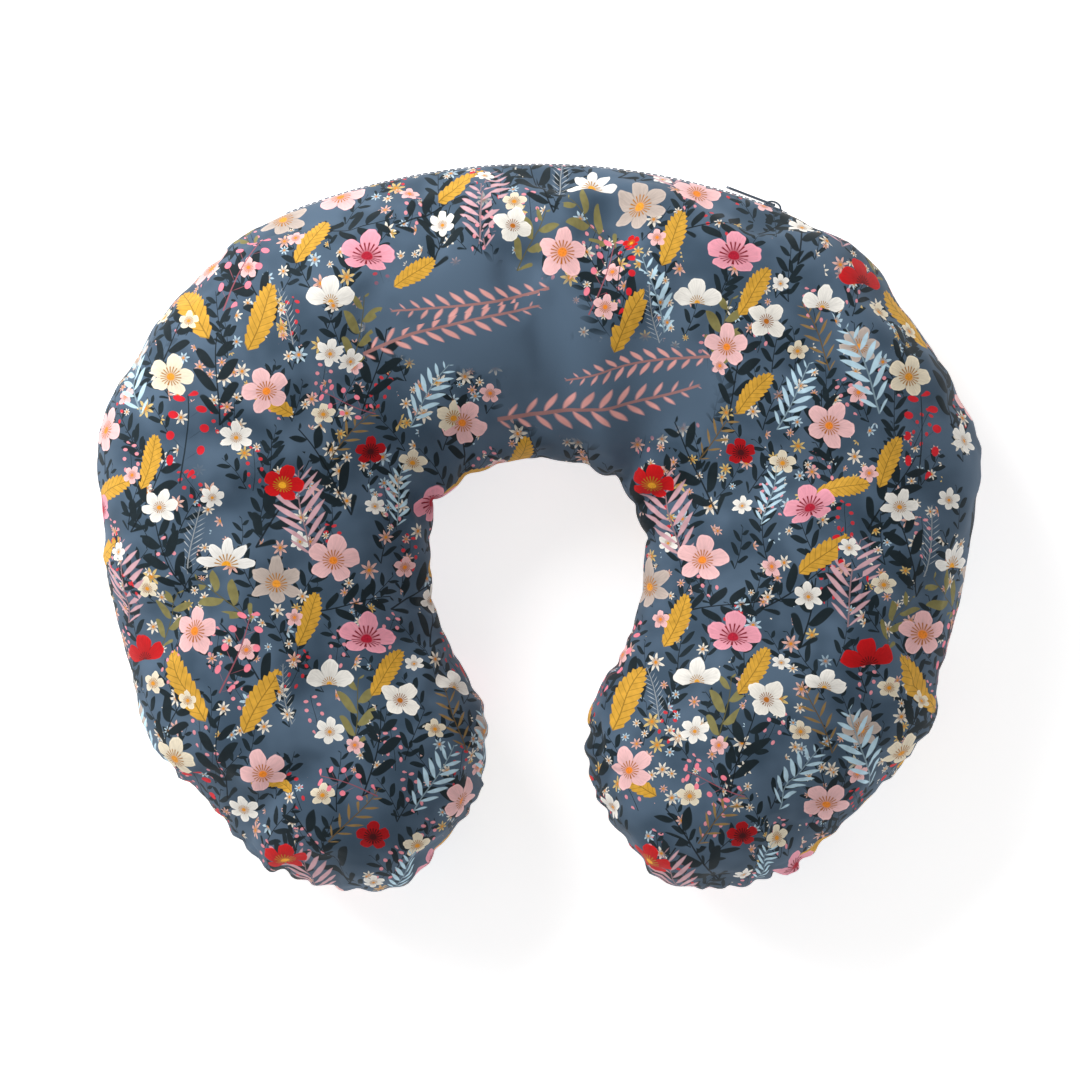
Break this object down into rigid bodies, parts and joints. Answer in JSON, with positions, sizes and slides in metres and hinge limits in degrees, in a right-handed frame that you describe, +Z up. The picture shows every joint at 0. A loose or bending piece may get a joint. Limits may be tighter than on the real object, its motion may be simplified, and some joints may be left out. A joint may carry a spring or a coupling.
{
  "type": "nursing pillow",
  "caption": "Horseshoe-shaped nursing pillow with a removable zipped fabric cover over a fibre-filled liner; both arms flex outwards.",
  "frame": {"origin": "middle of the footprint, on the surface the pillow lies on", "axes": "+X to the right arm's side along the longest extent, +Y from the mouth towards the back of the horseshoe, +Z up"},
  "size_m": [0.5206, 0.4277, 0.1305],
  "materials": {
    "cover_fabric": "satin",
    "liner_fabric": "matte",
    "fibre_fill": "matte",
    "zipper_tape": "matte",
    "zipper_teeth": "satin",
    "zipper_metal": "satin",
    "thread": "satin",
    "label_ribbon": "satin"
  },
  "bodies": {
    "back": {"cover_top_back": "cover_fabric", "cover_bottom_back": "cover_fabric", "cover_allowance_back": "cover_fabric", "liner_top_back": "liner_fabric", "liner_bottom_back": "liner_fabric", "liner_allowance_back": "liner_fabric", "fibre_fill_back": "fibre_fill", "care_label": "label_ribbon", "liner_label": "label_ribbon", "zipper_tape_upper": "zipper_tape", "zipper_tape_lower": "zipper_tape", "zipper_teeth_upper": "zipper_teeth", "zipper_teeth_lower": "zipper_teeth", "zipper_top_stops": "zipper_metal", "zipper_bottom_stop": "zipper_metal", "zipper_topstitching": "thread", "liner_closing_stitches": "thread"},
    "left_arm": {"cover_top_left_arm": "cover_fabric", "cover_bottom_left_arm": "cover_fabric", "cover_allowance_left_arm": "cover_fabric", "liner_top_left_arm": "liner_fabric", "liner_bottom_left_arm": "liner_fabric", "liner_allowance_left_arm": "liner_fabric", "fibre_fill_left_arm": "fibre_fill"},
    "right_arm": {"cover_top_right_arm": "cover_fabric", "cover_bottom_right_arm": "cover_fabric", "cover_allowance_right_arm": "cover_fabric", "liner_top_right_arm": "liner_fabric", "liner_bottom_right_arm": "liner_fabric", "liner_allowance_right_arm": "liner_fabric", "fibre_fill_right_arm": "fibre_fill"},
    "zipper_slider": {"zipper_slider": "zipper_metal"},
    "zipper_pull": {"zipper_pull": "zipper_metal"}
  },
  "joints": [
    {"name": "left_arm_flex", "type": "hinge", "parent": "back", "child": "left_arm", "pos_m": [-0.262, -0.0195, 0.056], "axis": [0, 0, -1], "range_deg": [0, 12], "stiffness_Nm_per_rad": 6},
    {"name": "right_arm_flex", "type": "hinge", "parent": "back", "child": "right_arm", "pos_m": [0.262, -0.0195, 0.056], "axis": [0, 0, 1], "range_deg": [0, 12], "stiffness_Nm_per_rad": 6},
    {"name": "zipper_slide", "type": "hinge", "parent": "back", "child": "zipper_slider", "pos_m": [0, -0.176, 0.056], "axis": [0, 0, 1], "range_deg": [0, 41.5], "deforming": ["zipper_teeth_upper", "zipper_teeth_lower"]},
    {"name": "pull_flip", "type": "hinge", "parent": "zipper_slider", "child": "zipper_pull", "pos_m": [0.13982, 0.19016, 0.056], "axis": [0, 0, -1], "range_deg": [0, 160]}
  ]
}
